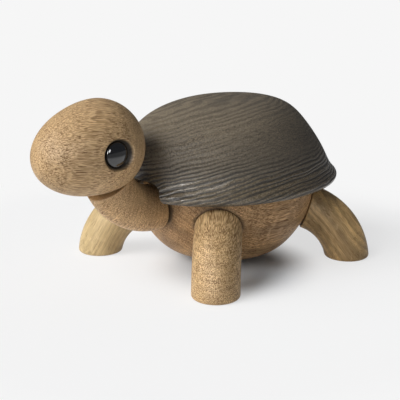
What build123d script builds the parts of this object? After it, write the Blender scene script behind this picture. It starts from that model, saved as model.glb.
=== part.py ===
# Wooden turtle figurine: turned belly and head, domed shell and bent round limbs, sizes in millimetres
import os
from math import cos, exp, hypot, radians, sin, sqrt

from build123d import *

os.makedirs("parts", exist_ok=True)

# Round limb stock, shared by the legs and the neck
limb_dia = 22.9
running_gap = 0.5
seam_chamfer = 0.3

# Legs, standing on the diagonals of the belly; each bend is centred a little below the floor
belly_y = 22.7
foot_x = 46.0
foot_y = 46.0
leg_bend = 31.0
leg_bend_depth = 3.1
leg_tilt = 17.5
foot_fillet = 1.6

# Neck, from its seat on the belly to the head
neck_seat_z = 33.8
neck_tilt = 3.8
neck_bend = 28.0
neck_rise = 57.5
neck_top = 3.5

# Belly, turned as a bowl with a spigot that enters the shell
belly_clearance = 2.0
belly_mid_r = 33.0
belly_mid_z = 9.0
front_overhang = 15.2
spigot_height = 5.2
shoulder = 1.8
recess_gap = 0.2

# Shell, an oval dome with a flared rim, strung on a spine that leans forward at the flanks
leg_clearance = 1.6
shell_width = 102.0
shell_length = 123.0
shell_height = 43.9
rim_back = 5.0
flank_height = 17.6
flank_back = 1.7
waist_height = 29.0
waist_back = -0.9
dome_share = 0.92
dome_power = 2.2
dome_root = 0.32
flare_share = 0.1
flare_reach = 0.133
rim_fillet = 2.6
arch_clearance = 2.6
arch_r = 10.0
arch_spread = 10.5

# Head, an egg with its narrow end forward
head_r = 21.8
snout_length = 34.2
crown_length = 20.9
head_pitch = 8.4
head_flat_r = 9.45

# Eyes, glass domes on stems in dished sockets drilled square to the sides
eye_dia = 12.0
eye_height = 3.6
eye_edge = 0.8
eye_sink = 3.6
eye_forward = 3.9
eye_up = 0.1
stem_dia = 3.0
stem_length = 6.0

# Dowels
dowel_dia = 8.0
dowel_clearance = 0.05
dowel_in_limb = 11.0
dowel_in_seat = 13.0
dowel_end_gap = 0.6
shell_dowel_in_belly = 14.0
shell_dowel_in_shell = 14.0
dowel_wall = 5.2

limb_r = limb_dia / 2
belly_top_r = shell_length / 2 - front_overhang
dowel_r = dowel_dia / 2
up = Vector(0, 0, 1)
forward = Vector(0, -1, 0)
belly_axis = Vector(0, belly_y, 0)

# Seat of a leg, measured outwards from the belly's axis and up from the floor
leg_slope = radians(leg_tilt)
leg_bend_r = hypot(foot_x, foot_y) - sqrt(leg_bend**2 - leg_bend_depth**2)
leg_seat_r = leg_bend_r + leg_bend * sin(leg_slope)
leg_seat_z = leg_bend * cos(leg_slope) - leg_bend_depth
shell_base = leg_seat_z + limb_r * cos(leg_slope) + leg_clearance


def leg_out(side, end):
    return Vector(side * foot_x, end * foot_y, 0).normalized()


def leg_seat(side, end):
    out = leg_out(side, end)
    at = belly_axis + out * leg_seat_r + up * leg_seat_z
    return Plane(origin=at, z_dir=out * cos(leg_slope) - up * sin(leg_slope))


# Centre line of the neck, drawn in the plane of symmetry
def heading(degrees_up):
    return forward * cos(radians(degrees_up)) + up * sin(radians(degrees_up))


neck_low = heading(-neck_tilt)
neck_high = heading(neck_rise)
neck_seat_r = sqrt(belly_top_r**2 - limb_r**2)
neck_seat_at = belly_axis + forward * neck_seat_r + up * neck_seat_z
neck_seat = Plane(origin=neck_seat_at, z_dir=neck_low)
neck_bend_at = neck_seat_at + heading(90 - neck_tilt) * neck_bend
neck_bend_end = neck_bend_at - heading(90 + neck_rise) * neck_bend
neck_end = Plane(origin=neck_bend_end + neck_high * neck_top, z_dir=neck_high)

# The neck's upper axis runs through the middle of the egg, cut to a flat of a given radius
head_forward = heading(-head_pitch)
head_up = heading(90 - head_pitch)
head_seat_plane = neck_end.offset(running_gap)
head_lean = radians(neck_rise + head_pitch)
head_reach = hypot((snout_length + crown_length) / 2 * cos(head_lean), head_r * sin(head_lean))
head_seat = head_reach * sqrt(1 - (head_flat_r / head_r) ** 2)
head_middle = head_seat_plane.origin + neck_high * head_seat
head_at = head_middle - head_forward * (snout_length - crown_length) / 2


def eye_seat(side):
    round_r = head_r * sqrt(1 - (eye_forward / snout_length) ** 2)
    depth = sqrt(round_r**2 - eye_up**2) - eye_sink
    at = head_at + head_forward * eye_forward + head_up * eye_up + Vector(side * depth, 0, 0)
    return Plane(origin=at, x_dir=head_forward, z_dir=(side, 0, 0))


def dowel_hole(mouth, depth, clearance=0.0):
    with Locations(mouth):
        Hole(dowel_r + clearance, depth)


def make_dowel(seat, below, above, label):
    with BuildPart() as dowel:
        with BuildSketch(seat.offset(-below)):
            Circle(dowel_r)
        extrude(amount=below + above)
    dowel.part.label = label
    export_step(dowel.part, f"parts/{label}.step")


def make_leg(side, end, label):
    out = leg_out(side, end)
    seat = leg_seat(side, end)
    bend_at = belly_axis + out * leg_bend_r - up * leg_bend_depth
    with BuildPart() as leg:
        with BuildSketch(Plane(origin=bend_at + out * leg_bend)):
            Circle(limb_r)
        revolve(axis=Axis(bend_at, out.cross(up)), revolution_arc=90 - leg_tilt)
        split(bisect_by=Plane.XY, keep=Keep.TOP)
        fillet(leg.edges().group_by(Axis.Z)[0], foot_fillet)
        chamfer(leg.faces().sort_by_distance(seat.origin)[0].edges(), seam_chamfer)
        dowel_hole(-seat, dowel_in_limb)
    leg.part.label = label
    export_step(leg.part, f"parts/{label}.step")


corners = {
    "front_left": (1, -1),
    "front_right": (-1, -1),
    "rear_left": (1, 1),
    "rear_right": (-1, 1),
}
for corner, (side, end) in corners.items():
    make_leg(side, end, f"leg_{corner}")
    make_dowel(leg_seat(side, end), dowel_in_seat, dowel_in_limb, f"leg_dowel_{corner}")

# Belly: a bowl with a flat seat and a dowel hole for each limb
wall_r = hypot(leg_seat_r - running_gap, limb_r)
spigot_r = belly_top_r - shoulder
spigot_top = shell_base + spigot_height
seats = [leg_seat(side, end) for side, end in corners.values()] + [neck_seat]
shell_dowel_r = neck_seat_r - dowel_in_seat - dowel_end_gap - dowel_wall - dowel_r
shell_dowels = {
    "front": Plane(origin=belly_axis + forward * shell_dowel_r + up * spigot_top),
    "rear": Plane(origin=belly_axis - forward * shell_dowel_r + up * spigot_top),
}
with BuildPart() as belly:
    with BuildSketch(Plane(origin=belly_axis, x_dir=(1, 0, 0), z_dir=forward)):
        with BuildLine():
            Spline(
                (0, belly_clearance),
                (belly_mid_r, belly_mid_z),
                (wall_r, leg_seat_z),
                (belly_top_r, shell_base),
                tangents=[(1, 0), (0, 1)],
            )
            Polyline(
                (belly_top_r, shell_base),
                (spigot_r, shell_base),
                (spigot_r, spigot_top),
                (0, spigot_top),
                (0, belly_clearance),
            )
        make_face()
    revolve(axis=Axis(belly_axis, up))
    for seat in seats:
        with BuildSketch(seat.offset(-running_gap)):
            Rectangle(2 * limb_dia, 2 * limb_dia)
        extrude(amount=limb_dia, mode=Mode.SUBTRACT)
    for seat in seats:
        dowel_hole(seat, dowel_in_seat + dowel_end_gap, dowel_clearance)
    for seat in shell_dowels.values():
        dowel_hole(seat, shell_dowel_in_belly)
belly.part.label = "belly"
export_step(belly.part, "parts/belly.step")

# Shell: oval sections along a spine, each a share of the rim's size
shell_foot = belly_axis + up * shell_base
arch_at = neck_seat_at - forward * shoulder + up * (limb_r + arch_clearance - arch_r)
spine = Spline(
    shell_foot + Vector(0, rim_back, 0),
    shell_foot + Vector(0, flank_back, flank_height),
    shell_foot + Vector(0, waist_back, waist_height),
    shell_foot + Vector(0, rim_back, shell_height),
    tangents=[(0, 0, 1), (0, 1, 1)],
)
stations = (0, 0.07, 0.14, 0.3, 0.48, 0.66, 0.82, 0.93, 0.985, 0.9995)


def section_share(height):
    dome = dome_share * (1 - height**dome_power) ** dome_root
    return dome + flare_share * exp(-((height / flare_reach) ** 2))


with BuildPart() as shell:
    for station in stations:
        middle = spine @ station
        share = section_share((middle.Z - shell_base) / shell_height)
        with BuildSketch(Plane(origin=middle)):
            Ellipse(share * shell_width / 2, share * shell_length / 2)
    loft()
    fillet(shell.edges().group_by(Axis.Z)[0], rim_fillet)
    with BuildSketch(Plane(origin=shell_foot)):
        Circle(spigot_r)
    extrude(amount=spigot_height + recess_gap, mode=Mode.SUBTRACT)
    with BuildSketch(Plane(origin=arch_at, x_dir=(1, 0, 0), z_dir=forward)):
        SlotCenterToCenter(arch_spread, 2 * arch_r)
    extrude(amount=limb_dia, mode=Mode.SUBTRACT)
    for seat in shell_dowels.values():
        dowel_hole(-seat, shell_dowel_in_shell)
shell.part.label = "shell"
export_step(shell.part, "parts/shell.step")
for place, seat in shell_dowels.items():
    make_dowel(seat, shell_dowel_in_belly, shell_dowel_in_shell, f"shell_dowel_{place}")

# Neck: one bend and a straight end that carries the head
with BuildPart() as neck:
    with BuildSketch(neck_seat):
        Circle(limb_r)
    revolve(axis=Axis(neck_bend_at, forward.cross(up)), revolution_arc=neck_tilt + neck_rise)
    with BuildSketch(Plane(origin=neck_bend_end, z_dir=neck_high)):
        Circle(limb_r)
    extrude(amount=neck_top)
    for seat in (neck_seat, neck_end):
        chamfer(neck.faces().sort_by_distance(seat.origin)[0].edges(), seam_chamfer)
    dowel_hole(-neck_seat, dowel_in_limb)
    dowel_hole(neck_end, dowel_in_seat + dowel_end_gap, dowel_clearance)
neck.part.label = "neck"
export_step(neck.part, "parts/neck.step")
make_dowel(neck_seat, dowel_in_seat, dowel_in_limb, "neck_dowel")

# Head: the egg, its seat on the neck and the two eye sockets with their 45 degree dishes
dish_align = (Align.CENTER, Align.CENTER, Align.MIN)


def egg_point(turn):
    length = snout_length if turn < 90 else crown_length
    return (length * cos(radians(turn)), head_r * sin(radians(turn)))


with BuildPart() as head:
    with BuildSketch(Plane(origin=head_at, x_dir=head_forward, z_dir=head_forward.cross(head_up))):
        with BuildLine():
            snout = EllipticalCenterArc((0, 0), snout_length, head_r, 0, arc_size=50)
            crown = EllipticalCenterArc((0, 0), crown_length, head_r, 120, arc_size=60)
            cheek = [egg_point(turn) for turn in (70, 90, 105)]
            Spline(snout @ 1, *cheek, crown @ 0, tangents=[snout % 1, crown % 0])
            Line((-crown_length, 0), (snout_length, 0))
        make_face()
    revolve(axis=Axis(head_at, head_forward))
    with BuildSketch(head_seat_plane):
        Circle(head_r)
    extrude(amount=-head_r, mode=Mode.SUBTRACT)
    dowel_hole(-head_seat_plane, dowel_in_limb)
    for side in (1, -1):
        seat = eye_seat(side)
        with Locations(seat):
            Hole(stem_dia / 2, stem_length)
        with BuildSketch(seat):
            Circle(eye_dia / 2)
        extrude(amount=eye_edge, mode=Mode.SUBTRACT)
        with Locations(seat.offset(eye_edge)):
            Cone(eye_dia / 2, eye_dia, eye_dia / 2, align=dish_align, mode=Mode.SUBTRACT)
head.part.label = "head"
export_step(head.part, "parts/head.step")
make_dowel(head_seat_plane, dowel_in_seat + running_gap, dowel_in_limb, "head_dowel")


def make_eye(side, label):
    seat = eye_seat(side)
    with BuildPart() as eye:
        with BuildSketch(seat.offset(-stem_length)):
            Circle(stem_dia / 2)
        extrude(amount=stem_length)
        with BuildSketch(seat):
            Circle(eye_dia / 2)
        extrude(amount=eye_edge)
        dome = seat.offset(eye_edge)
        with BuildSketch(Plane(origin=dome.origin, x_dir=dome.x_dir, z_dir=dome.x_dir.cross(dome.z_dir))):
            with BuildLine():
                EllipticalCenterArc((0, 0), eye_dia / 2, eye_height - eye_edge, 0, arc_size=90)
                Polyline((0, eye_height - eye_edge), (0, 0), (eye_dia / 2, 0))
            make_face()
        revolve(axis=Axis(dome.origin, dome.z_dir))
    eye.part.label = label
    export_step(eye.part, f"parts/{label}.step")


make_eye(1, "eye_left")
make_eye(-1, "eye_right")

print(f"leg seat {leg_seat_r:.2f} out, {leg_seat_z:.2f} up; shell base {shell_base:.2f}")
print(f"neck seat {tuple(round(v, 3) for v in neck_seat_at)}, end {tuple(round(v, 3) for v in neck_end.origin)}")
print(f"head middle {tuple(round(v, 3) for v in head_middle)}, round {tuple(round(v, 3) for v in head_at)}")
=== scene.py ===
# %% [markdown]
# A turtle made of turned and bent wood stands on a pale studio floor. Its solids come from CAD and are
# loaded as a fixed frame, so nothing has to be placed by eye. What is left for Blender is what the eye
# reads first: oak with its pores and year rings, the stained ash of the shell, the glass of the eyes,
# and the soft light.

# %% Load the frame
from math import cos, pi, radians, sin

import bpy
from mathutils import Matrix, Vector


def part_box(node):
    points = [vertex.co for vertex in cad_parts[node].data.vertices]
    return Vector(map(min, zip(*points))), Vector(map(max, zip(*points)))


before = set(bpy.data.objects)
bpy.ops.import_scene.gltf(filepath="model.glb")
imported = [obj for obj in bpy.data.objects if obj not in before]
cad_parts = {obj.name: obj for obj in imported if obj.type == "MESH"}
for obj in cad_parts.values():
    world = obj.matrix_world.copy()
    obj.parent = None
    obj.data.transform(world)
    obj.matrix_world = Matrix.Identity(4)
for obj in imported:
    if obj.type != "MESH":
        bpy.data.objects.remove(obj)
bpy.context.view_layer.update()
scene = bpy.context.scene
MM = 1000.0  # millimetres in a metre
print("pieces in the frame:", sorted(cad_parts))

# %% [markdown]
# The photograph was taken from in front of the turtle's left shoulder, a little above its back, with a
# long lens that keeps the limbs from spreading. The camera could be pushed about until the picture looks
# right. Here it is written down once as a place, two angles and a lens.

# %% Camera
camera_at = (0.3484, -0.2958, 0.1579)
looks_down = radians(15.3)
turned = radians(49)
turtle_middle = Vector((0, 0, 0.045))
camera = bpy.data.objects.new("camera", bpy.data.cameras.new("camera"))
scene.collection.objects.link(camera)
camera.location = camera_at
camera.rotation_euler = (pi / 2 - looks_down, 0, turned)
camera.data.sensor_width = 36
camera.data.lens = 84.6
camera.data.clip_end = 100
scene.camera = camera
print("camera", round((camera.location - turtle_middle).length, 3), "m from the turtle's middle")

# %% [markdown]
# A material is a network of small nodes, and wiring them one by one takes many lines. These helpers keep
# a recipe readable: each one adds a node, connects what it is given, whether a number or another node's
# output, and returns the new output. This first set does sums. measure says how far a point lies from a
# start along an axis, in millimetres.


# %% Helpers for sums
class Sums:
    def __init__(self, name):
        self.material = bpy.data.materials.new(name)
        self.material.use_nodes = True
        self.tree = self.material.node_tree
        self.shader = self.tree.nodes["Principled BSDF"]
        self.place = self.node("ShaderNodeTexCoord").outputs["Object"]

    def node(self, kind, **settings):
        made = self.tree.nodes.new(kind)
        for key, value in settings.items():
            setattr(made, key, value)
        return made

    def put(self, socket, value):
        if isinstance(value, bpy.types.NodeSocket):
            self.tree.links.new(value, socket)
        else:
            socket.default_value = value

    def fill(self, made, *values):
        for socket, value in zip(made.inputs, values):
            self.put(socket, value)
        return made.outputs[0]

    def calc(self, operation, a, b=0.0):
        return self.fill(self.node("ShaderNodeMath", operation=operation), a, b)

    def add(self, a, b):
        return self.calc("ADD", a, b)

    def less(self, a, b):
        return self.calc("SUBTRACT", a, b)

    def times(self, a, b):
        return self.calc("MULTIPLY", a, b)

    def over(self, a, b):
        return self.calc("DIVIDE", a, b)

    def most(self, a, b):
        return self.calc("MAXIMUM", a, b)

    def hypot(self, a, b):
        return self.calc("SQRT", self.add(self.times(a, a), self.times(b, b)))

    def point(self, x, y, z):
        return self.fill(self.node("ShaderNodeCombineXYZ"), x, y, z)

    def vector(self, operation, a, b=(0.0, 0.0, 0.0)):
        made = self.node("ShaderNodeVectorMath", operation=operation)
        self.fill(made, a, b)
        return made.outputs["Value" if operation in ("DOT_PRODUCT", "LENGTH") else "Vector"]

    def measure(self, axis, start=(0.0, 0.0, 0.0)):
        from_start = self.vector("SUBTRACT", self.place, tuple(start))
        return self.vector("DOT_PRODUCT", from_start, tuple(MM * Vector(axis)))


print("sums ready")

# %% [markdown]
# The second set makes patterns and colours. noise gives soft clouds and cells gives a scatter of spots.
# step turns a pattern into a mask: it goes smoothly from one level to another between two limits. mix
# lays one colour over another by such a mask, and bump turns a pattern into relief without more mesh.


# %% Helpers for patterns and colours
class Recipe(Sums):
    def noise(self, at, detail=2.0, rough=0.5):
        made = self.node("ShaderNodeTexNoise")
        self.put(made.inputs["Vector"], at)
        made.inputs["Scale"].default_value = 1.0
        made.inputs["Detail"].default_value = detail
        made.inputs["Roughness"].default_value = rough
        return made.outputs[0]

    def cells(self, at):
        made = self.node("ShaderNodeTexVoronoi", feature="F1")
        self.put(made.inputs["Vector"], at)
        made.inputs["Scale"].default_value = 1.0
        made.inputs["Randomness"].default_value = 1.0
        return made

    def step(self, value, low, high, out_low=0.0, out_high=1.0):
        made = self.node("ShaderNodeMapRange", interpolation_type="SMOOTHSTEP")
        return self.fill(made, value, low, high, out_low, out_high)

    def mix(self, share, a, b, blend="MIX"):
        made = self.node("ShaderNodeMix", data_type="RGBA", blend_type=blend)
        self.put(made.inputs["Factor"], share)
        for socket, value in ((made.inputs[6], a), (made.inputs[7], b)):
            self.put(socket, (*value, 1.0) if isinstance(value, tuple) else value)
        return made.outputs[2]

    def bump(self, height, depth):
        made = self.node("ShaderNodeBump")
        made.inputs["Strength"].default_value = 1.0
        made.inputs["Distance"].default_value = depth
        self.put(made.inputs["Height"], height)
        return made.outputs[0]

    def surface(self, socket, value):
        self.put(self.shader.inputs[socket], value)


def dress(node, material):
    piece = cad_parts[node]
    piece.data.materials.clear()
    piece.data.materials.append(material)


print("patterns and colours ready")

# %% [markdown]
# Every wooden piece was cut from a log, so its figure is that of the log: rings that grew around a pith,
# and vessels that run along the trunk. A flat wood picture wrapped round the piece would show the same
# face everywhere. If the material measures each point in the log's own directions instead, then end
# grain shows dots, side grain shows dashes, and the rings bend over every curve as on real wood.


# %% A log to cut the pieces from
def log_of(r, along, across, middle, pith, ring, wander):
    trunk_waves = (0.025, 0.06, 0.06)  # waves in each millimetre: slow along the trunk
    good_years, unevenness = 0.4, 1.6  # how fast the width of the rings changes, and how much
    along = Vector(along).normalized()
    across = Vector(across)
    across = (across - along * across.dot(along)).normalized()
    u, v, w = (r.measure(axis, middle) for axis in (along, across, along.cross(across)))
    bend = r.noise(r.point(*(r.times(d, wave) for d, wave in zip((u, v, w), trunk_waves))))
    v = r.add(v, r.times(r.less(bend, 0.5), wander))
    years = r.over(r.hypot(r.add(v, pith), w), ring)
    growth = r.noise(r.point(r.times(years, good_years), 3.1, 7.7), detail=1.0)
    return u, v, w, r.add(years, r.times(growth, unevenness))


def stretched(r, log, length, width, shift=0.0, depth=None):
    sizes = (length, depth or width, width)
    u, v, w = (r.over(distance, size) for distance, size in zip(log, sizes))
    return r.point(r.add(u, shift), v, w)


def vessels(r, log, length, width, shift, reach, share):
    soft_edge, solid_part = 0.1, 0.65
    found = r.cells(stretched(r, log, length, width, shift))
    chance = r.fill(r.node("ShaderNodeSeparateColor"), found.outputs["Color"])
    kept = r.step(chance, 1.0 - share, 1.0 + soft_edge - share)
    inside = r.step(found.outputs["Distance"], solid_part * reach, reach, 1.0, 0.0)
    return r.times(kept, inside)


print("a log is measured along the grain, out from the pith, and across")

# %% [markdown]
# Oak is ring-porous: each spring it lays down a row of wide vessels, then denser summer wood. Cut open,
# the vessels are dark dashes or dots, thickest in the spring bands. Pale rays run out from the pith, and
# between them all lie fine fibres. Each of these is its own pattern here, stretched along the log by
# the length it has in real oak, in millimetres.


# %% Grain of oak
def oak_grain(r, log, seed):
    year = r.calc("FRACT", log[3])
    spring = r.times(r.step(year, 0.0, 0.1), r.step(year, 0.3, 0.7, 1.0, 0.0))
    blotch = r.noise(stretched(r, log, length=38.0, width=9.0, shift=seed))
    fibre = r.noise(stretched(r, log, length=5.0, width=0.36, shift=seed), detail=1.0, rough=0.6)
    fine = vessels(r, log, length=7.0, width=0.38, shift=seed, reach=0.46, share=0.5)
    fine = r.times(fine, r.step(spring, 0.0, 0.8, 0.5, 1.0))
    wide = vessels(r, log, length=36.0, width=0.8, shift=seed + 3.0, reach=0.3, share=0.4)
    ray = r.noise(stretched(r, log, length=4.0, width=0.34, shift=seed + 5.0, depth=9.0), detail=1.0)
    return spring, blotch, fibre, r.most(fine, wide), r.step(ray, 0.58, 0.7)


print("oak has spring bands, blotches, fibres, pores and rays")

# %% [markdown]
# The finish is a thin oil, so the surface is satin and the open pores stay open, which the bump shows.
# Every colour is a share of one tone, so a board can be changed by changing that tone. grain says how
# dark fibres and pores are, figure how much the rings show, and cloud how uneven the board is. Along
# each seam a line is painted too: a dark one is painted shade in the gap between two pieces, and a
# pale one is painted light on a gap or ledge that lies in shadow.

# %% Oak finish
FIBRE_SHARES = (0.52, 0.43, 0.3)  # of red, green and blue: darker parts of oak are also warmer
PORE_SHARES = (0.36, 0.25, 0.16)


def tint(tone, share, grey=0.0):
    mean = sum(tone) / 3
    return tuple(share * (c + (mean - c) * grey) for c in tone)


def warmed(tone, shares):
    return tuple(c * share for c, share in zip(tone, shares))


# Paints a line along a seam: painted shade when shade is below 1, painted light when above.
def painted_seam_shade_or_light(r, colour, tone, at, facing, share, shade):
    height = r.calc("ABSOLUTE", r.measure(facing, at))
    return r.mix(r.step(height, 0.3, 1.0, share, 0.0), colour, tint(tone, shade))


def oak(name, log, tone, grain=1.0, figure=0.25, cloud=0.14, seed=0.0, seams=(), stain=None):
    r = Recipe(name)
    spring, blotch, fibre, pore, ray = oak_grain(r, log_of(r, **log, wander=5.0), seed)
    summer = 1.2 + 0.2 * grain
    pale, deep = tint(tone, summer * (1 + cloud)), tint(tone, summer * (1 - cloud))
    colour = r.mix(r.step(blotch, 0.3, 0.7), pale, deep)
    colour = r.mix(r.times(spring, figure), colour, tint(tone, 0.66))
    fibre_mask = r.times(r.step(fibre, 0.42, 0.56), 0.5 * grain)
    colour = r.mix(fibre_mask, colour, warmed(tone, FIBRE_SHARES))
    colour = r.mix(r.times(ray, 0.3), colour, tint(tone, 1.75, grey=0.1))
    pore_mask = r.times(pore, min(0.95, 0.66 * grain))
    colour = r.mix(pore_mask, colour, warmed(tone, PORE_SHARES))
    # painted shade or painted light along each seam
    for seam in seams:
        colour = painted_seam_shade_or_light(r, colour, tone, *seam)
    if stain is not None:
        colour = r.mix(stain(r), colour, tint(tone, 0.1, grey=0.2))
    r.surface("Base Color", colour)
    r.surface("Roughness", r.step(pore, 0.0, 1.0, 0.46, 0.75))
    r.surface("Specular IOR Level", 0.3)
    r.surface("Normal", r.bump(r.less(r.times(fibre, 0.5), pore), depth=0.00013))
    return r.material


print("oak finish ready")

# %% [markdown]
# The head is an egg turned with its grain near its length, so the snout shows end grain and the cheeks
# show long dashes. The eye sockets are countersunk and stained almost black, which makes the glass look
# deep. The stain could be a second material on chosen faces. A mask that asks whether a point lies below
# the egg's own surface needs no faces, and it ends exactly at the rim of the cut.

# %% Head
head_at = Vector((0, -0.05427, 0.06841))
head_pitch = radians(8.4)
head_forward = Vector((0, -cos(head_pitch), -sin(head_pitch)))
head_up = Vector((0, -sin(head_pitch), cos(head_pitch)))
egg_back, egg_front, egg_radius = 20.9, 34.2, 21.8


def socket_stain(r):
    ahead = r.measure(head_forward, head_at)
    around = r.over(r.hypot(r.measure(head_up, head_at), r.measure((1, 0, 0), head_at)), egg_radius)
    length = r.over(ahead, r.step(ahead, -0.1, 0.1, egg_back, egg_front))
    square = r.add(r.times(around, around), r.times(length, length))
    return r.step(square, 0.86, 1.0, 1.0, 0.0)


head_log = dict(along=(-0.4, -0.9, 0.08), across=(1, 0, 0.1), middle=head_at, pith=60.0, ring=2.3)
head_oak = oak(
    "oak_head", head_log, tone=(0.424, 0.286, 0.15),
    grain=1.3, figure=0.15, cloud=0.06, seed=1.0, stain=socket_stain,
)
dress("head", head_oak)
print("the head is oak with two dark sockets")

# %% [markdown]
# The neck is an elbow of the same round stock as the legs. It meets the belly in a flat seat, where a
# crisp dark line of painted shade marks the gap between the two, and it ends under the head, where its
# narrow ledge lies in the head's shadow and is painted paler, as painted light. A seam is a point on the
# flat, the way the flat faces, how strong the painted line is, and its shade.

# %% Neck
neck_seat = Vector((0, -0.02216, 0.0338))
neck_low = Vector((0, -0.9978, -0.0663))
neck_end = Vector((0, -0.04951, 0.04965))
neck_high = Vector((0, -0.5373, 0.8434))
# painted shade at the belly seat, painted light on the ledge in the head's shadow
neck_painted_seams = ((neck_seat, neck_low, 0.95, 0.1), (neck_end, neck_high, 0.5, 1.25))
neck_log = dict(
    along=(0.86, -0.09, 0.5), across=(-0.31, -0.87, 0.38), middle=neck_seat, pith=50.0, ring=2.4
)
neck_oak = oak(
    "oak_neck", neck_log, tone=(0.495, 0.327, 0.169),
    grain=1.4, figure=0.2, cloud=0.14, seed=3.0, seams=neck_painted_seams,
)
dress("neck", neck_oak)
print("the neck is oak with", len(neck_painted_seams), "seams")

# %% [markdown]
# A leg is sawn as an elbow from a board, so the grain cannot follow the bend: it runs straight. One oak
# for all four would give them the same marks, so each leg has its own board, and fall is how steeply the
# grain drops, in degrees. The nearest leg points its end grain at the viewer and shows rows of dots. The
# others lie steeper and show streaks. line is the strength and the shade of the line painted at the seam
# with the belly: dark lines are painted shade in the gap, and the pale one is painted light over its
# shadow.

# %% Legs
belly_at = Vector((0, 0.0227, 0.02))
seat_out, seat_rise = 0.04353, 0.02647
seat_facing_out, seat_facing_down = 0.9537, 0.3007
boards = {
    "front_left": dict(
        fall=22, ring=2.4, line=(0.95, 0.12),
        wood=dict(tone=(0.442, 0.302, 0.155), grain=1.7, figure=0.25, cloud=0.12, seed=10.0),
    ),
    "front_right": dict(
        fall=62, ring=2.4, line=(0.6, 0.16),
        wood=dict(tone=(0.428, 0.318, 0.163), grain=0.45, figure=0.25, cloud=0.12, seed=13.0),
    ),
    "rear_left": dict(
        fall=52, ring=3.4, line=(0.5, 1.1),
        wood=dict(tone=(0.434, 0.284, 0.124), grain=0.7, figure=0.5, cloud=0.42, seed=16.0),
    ),
    "rear_right": dict(
        fall=45, ring=2.2, line=(0.5, 0.16),
        wood=dict(tone=(0.4, 0.265, 0.128), grain=0.9, figure=0.3, cloud=0.2, seed=19.0),
    ),
}
leg_painted_seams = []
for corner, board in boards.items():
    low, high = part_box(f"leg_{corner}")
    middle = (Vector(low) + Vector(high)) / 2
    outward = Vector((middle.x, middle.y - belly_at.y, 0)).normalized()
    fall = radians(board["fall"])
    along = outward * cos(fall) - Vector((0, 0, sin(fall)))
    across = outward * sin(fall) + Vector((0, 0, cos(fall)))
    seat = Vector((0, belly_at.y, seat_rise)) + outward * seat_out
    facing = outward * seat_facing_out - Vector((0, 0, seat_facing_down))
    # the seam's painted line: painted shade in the gap, or painted light for the pale rear leg
    leg_painted_seams.append((seat, facing, *board["line"]))
    leg_log = dict(along=along, across=across, middle=middle, pith=40.0, ring=board["ring"])
    leg_oak = oak(f"oak_{corner}", leg_log, **board["wood"], seams=leg_painted_seams[-1:])
    dress(f"leg_{corner}", leg_oak)
print("oak legs, each from its own board:", list(boards))

# %% [markdown]
# The belly is a bowl turned from one block with its grain from front to back. Where a limb is seated,
# the dark line of painted shade in the seam also lies on the belly, a little weaker than on the limb. The
# seam of one rear leg is painted pale instead, as painted light, so the belly keeps no line there.

# %% Belly
weaker = 0.7
# painted shade along the seams on the belly
belly_painted_seams = [(neck_seat, neck_low, 0.9, 0.12)]
for seat, facing, share, shade in leg_painted_seams:
    if shade < 1:
        belly_painted_seams.append((seat, facing, weaker * share, shade))
belly_log = dict(along=(0.05, 1, 0.03), across=(0.45, 0, 0.89), middle=belly_at, pith=55.0, ring=2.2)
belly_oak = oak(
    "oak_belly", belly_log, tone=(0.365, 0.22, 0.1),
    grain=1.5, figure=0.45, cloud=0.4, seed=2.0, seams=belly_painted_seams,
)
dress("belly", belly_oak)
print("the belly is oak with", len(belly_painted_seams), "dark seams")

# %% [markdown]
# The shell is ash. Its rings lie almost flat, a little higher on the near side, so the dome cuts them
# into long lines. A wire brush has worn the soft spring wood down, most on the low flank and again on
# the crown, and the lines are patchy and broken, as a brush leaves them. Heights are in millimetres
# above the floor.

# %% Brushed lines of the shell
ash = Recipe("stained_ash")
shell_log = log_of(
    ash, along=(0, 1, 0.136), across=(-0.27, -0.13, 0.954), middle=(0, 0.0227, 0.04),
    pith=900.0, ring=2.0, wander=7.0,
)
year = ash.calc("FRACT", shell_log[3])
spring = ash.times(ash.step(year, 0.0, 0.3), ash.step(year, 0.45, 0.8, 1.0, 0.0))
height = ash.measure((0, 0, 1))
low_flank = ash.step(height, 53.0, 63.0, 1.0, 0.2)
crown = ash.step(height, 70.0, 80.0, 0.2, 0.55)
patchy = ash.noise(stretched(ash, shell_log, length=26.0, width=9.0, shift=9.0), detail=1.0)
broken = ash.noise(stretched(ash, shell_log, length=12.0, width=1.6, shift=2.0))
brushed = ash.times(ash.most(low_flank, crown), ash.step(patchy, 0.3, 0.6, 0.85, 1.0))
brushed = ash.times(brushed, ash.step(broken, 0.3, 0.5, 0.6, 1.0))
lines = ash.times(spring, brushed)
print("the lines of the shell are strongest low on the flank")

# %% [markdown]
# The stain is a grey brown. Soft spring wood and pores drink most of it and go nearly black, and the
# hard summer wood between them stays paler, with fine bright specks. Half-way up and toward the tail
# the colour is also darkened as painted shade. Multiplying the colour there darkens lines and specks
# alike, so their contrast stays.

# %% Stain of the shell
stain = (0.108, 0.0855, 0.0565)
blotch = ash.noise(stretched(ash, shell_log, length=40.0, width=12.0))
fibre = ash.noise(stretched(ash, shell_log, length=2.4, width=0.4), detail=3.0, rough=0.7)
pore = vessels(ash, shell_log, length=1.5, width=0.62, shift=4.0, reach=0.42, share=0.7)
pore = ash.times(pore, ash.step(spring, 0.0, 0.8, 0.35, 1.0))
speck = ash.noise(stretched(ash, shell_log, length=0.7, width=0.5, shift=6.0), detail=1.0)
speck = ash.times(ash.step(speck, 0.48, 0.6), ash.step(lines, 0.1, 0.8, 0.55, 0.1))
colour = ash.mix(ash.step(blotch, 0.3, 0.7), tint(stain, 1.8), tint(stain, 1.35))
colour = ash.mix(lines, colour, tint(stain, 0.2))
colour = ash.mix(ash.times(ash.step(fibre, 0.4, 0.6), 0.6), colour, tint(stain, 0.55))
colour = ash.mix(ash.times(pore, 0.65), colour, tint(stain, 0.22))
colour = ash.mix(speck, colour, tint(stain, 2.7))
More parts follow.
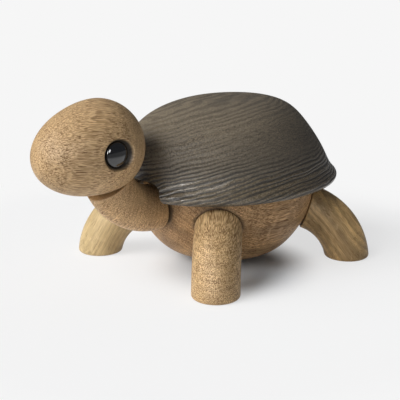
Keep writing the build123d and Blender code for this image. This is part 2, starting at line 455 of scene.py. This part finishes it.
# painted shade: darker half-way up the flank and toward the tail
mid_flank_painted_shade = ash.times(ash.step(height, 48.0, 58.0), ash.step(height, 66.0, 78.0, 1.0, 0.0))
tail_painted_shade = ash.step(shell_log[0], -20.0, 30.0)
for painted_shade, left in ((mid_flank_painted_shade, 0.78), (tail_painted_shade, 0.69)):
    colour = ash.mix(painted_shade, colour, (left, left, left), "MULTIPLY")
ash.surface("Base Color", colour)
print("the shell is stained grey brown")

# %% [markdown]
# The brushed spring wood lies lower and is duller than the hard summer wood, so a highlight breaks into
# stripes. Only the low flank was rubbed to a sheen, and above it the wood is nearly matt. Lines this
# fine would need a huge mesh, so the relief is left to bump.

# %% Sheen and relief of the shell
sheen = ash.step(ash.add(spring, pore), 0.0, 1.0, 0.24, 0.52)
ash.surface("Roughness", ash.add(sheen, ash.step(height, 50.0, 58.0, 0.0, 0.4)))
ash.surface("Specular IOR Level", 0.6)
hollows = ash.add(lines, ash.times(pore, 0.6))
ash.surface("Normal", ash.bump(ash.less(ash.times(fibre, 0.4), hollows), depth=0.0002))
dress("shell", ash.material)
print("the shell is brushed ash")

# %% [markdown]
# The eyes are black glass domes, the kind sold for carved animals. Almost all that is seen of them is
# reflection, so the glass itself is simple: nearly black and with a strong gloss. A faint smear in the
# smoothness keeps it from looking like a perfect ball.

# %% Glass eyes
glass = Recipe("black_glass")
glass.surface("Base Color", (0.006, 0.006, 0.007, 1))
glass.surface("IOR", 1.52)
glass.surface("Specular IOR Level", 1.0)
smear_scale = 260.0
smear = glass.noise(glass.vector("MULTIPLY", glass.place, (smear_scale,) * 3), detail=3.0)
glass.surface("Roughness", glass.step(smear, 0.3, 0.8, 0.03, 0.08))
for name in ("eye_left", "eye_right"):
    dress(name, glass.material)
print("two glass eyes")

# %% [markdown]
# Dowels hold the pieces together inside and are hidden while the turtle is whole. They are beech, which
# is pale and plain. The oak recipe with a weak grain is close enough, and it gives them a real finish
# for anyone who takes the turtle apart.

# %% Beech dowels
dowels = [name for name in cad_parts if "dowel" in name]
for name in dowels:
    low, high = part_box(name)
    dowel_log = dict(
        along=Vector(high) - Vector(low), across=(0, 0.3, 1), middle=low, pith=90.0, ring=3.0
    )
    dress(name, oak(f"beech_{name}", dowel_log, tone=(0.6, 0.46, 0.31), grain=0.5))
print(len(dowels), "beech dowels")

# %% [markdown]
# The floor is a sheet of pale paper so wide that its edge never shows. A lit sheet alone is never even,
# so away from the turtle it shows one white of its own, to the camera and in reflections, and near the
# belly it is an ordinary surface that takes the shadow. Where that shadow lies, the paper's colour is
# painted a little bluer, so the shade looks cooler.
# The studio is dark beyond the lit table, and glass mirrors that: for reflected rays the sheet fades out
# a hand's breadth from the turtle.

# %% Floor
image_left = Vector((-0.6561, -0.7547, 0))
image_front = Vector((0.7547, -0.6561, 0))
shade_at = image_front * 0.005 - image_left * 0.022
shade_width, shade_depth = 34.0, 40.0
bpy.ops.mesh.primitive_plane_add(size=60)
floor = bpy.context.object
floor.name = "floor"
sheet = Recipe("pale_floor")
rays = sheet.node("ShaderNodeLightPath").outputs
away = sheet.vector("LENGTH", sheet.place)
mirrored = sheet.times(sheet.step(away, 0.14, 0.26, 0.0, 0.85), rays["Is Glossy Ray"])
spot = sheet.hypot(
    sheet.over(sheet.measure(image_left, shade_at), shade_width),
    sheet.over(sheet.measure(image_front, shade_at), shade_depth),
)
# painted shade colour: the paper is bluer where the belly's shadow lies
cool_painted_shadow_floor = sheet.mix(sheet.step(spot, 0.5, 1.4), (0.86, 0.93, 1.0), (0.96, 0.96, 0.96))
sheet.surface("Base Color", sheet.mix(mirrored, cool_painted_shadow_floor, (0.05, 0.05, 0.05)))
sheet.surface("Roughness", 0.9)
sheet.surface("Specular IOR Level", 0.0)
paper = sheet.node("ShaderNodeEmission")
paper.inputs["Color"].default_value = (0.922, 0.922, 0.922, 1)
clear = sheet.most(sheet.step(spot, 0.6, 1.4, 0.0, 0.72), sheet.step(away, 0.06, 0.2))
reflected = sheet.most(rays["Is Glossy Ray"], rays["Is Transmission Ray"])
looked_at = sheet.most(rays["Is Camera Ray"], reflected)
seen = sheet.times(sheet.times(clear, looked_at), sheet.less(1.0, mirrored))
both = sheet.fill(
    sheet.node("ShaderNodeMixShader"), seen, sheet.shader.outputs[0], paper.outputs[0]
)
sheet.put(sheet.tree.nodes["Material Output"].inputs["Surface"], both)
floor.data.materials.append(sheet.material)
print("floor ready")

# %% [markdown]
# The light is a bank of soft boxes on the left of the picture, with a weak one behind. Each is a sun
# with a wide disc, because its light then falls the same way on the whole turtle. A lamp may also only
# light or only shine: two boxes leave no highlight, and a strip and a small window only shine, on the
# low flank of the shell and as the spark in the eye. Each lamp comes from so much left, front and up.


# %% Lamps
def lamp(name, left, front, rise, level, spread, lights=True, shines=True):
    sun = bpy.data.objects.new(name, bpy.data.lights.new(name, "SUN"))
    scene.collection.objects.link(sun)
    come_from = image_left * left + image_front * front + Vector((0, 0, rise))
    sun.rotation_euler = come_from.to_track_quat("Z", "Y").to_euler()
    sun.data.energy = level * pi
    sun.data.angle = radians(spread)
    sun.visible_diffuse = lights
    sun.visible_glossy = shines
    print("lamp", name, "at level", level)


lamp("box_high", 0.8, 0.3, 0.8, level=0.3, spread=24)
lamp("box_front", 0.6, 0.6, 0.8, level=0.41, spread=26, shines=False)
lamp("box_left", 0.9, 0.1, 0.5, level=0.3, spread=30)
lamp("box_low", 1.0, 0.5, 0.3, level=0.3, spread=30, shines=False)
lamp("box_behind", 0.0, -0.5, 1.0, level=0.06, spread=60)
lamp("strip", 0.5, 0.82, 0.28, level=0.7, spread=24, lights=False)
lamp("window", -0.1, 0.92, 0.38, level=0.26, spread=20, lights=False)

# %% [markdown]
# Dim walls, a little cool, fill the shadows from all round. The Standard view shows every colour as it
# is written, so the tones of the wood can be compared with the photograph directly.

# %% Walls and view
world = bpy.data.worlds.new("studio")
scene.world = world
world.use_nodes = True
walls = world.node_tree.nodes["Background"]
walls.inputs["Color"].default_value = (0.93, 0.98, 1.06, 1)
walls.inputs["Strength"].default_value = 0.11
scene.view_settings.view_transform = "Standard"
print("studio ready")
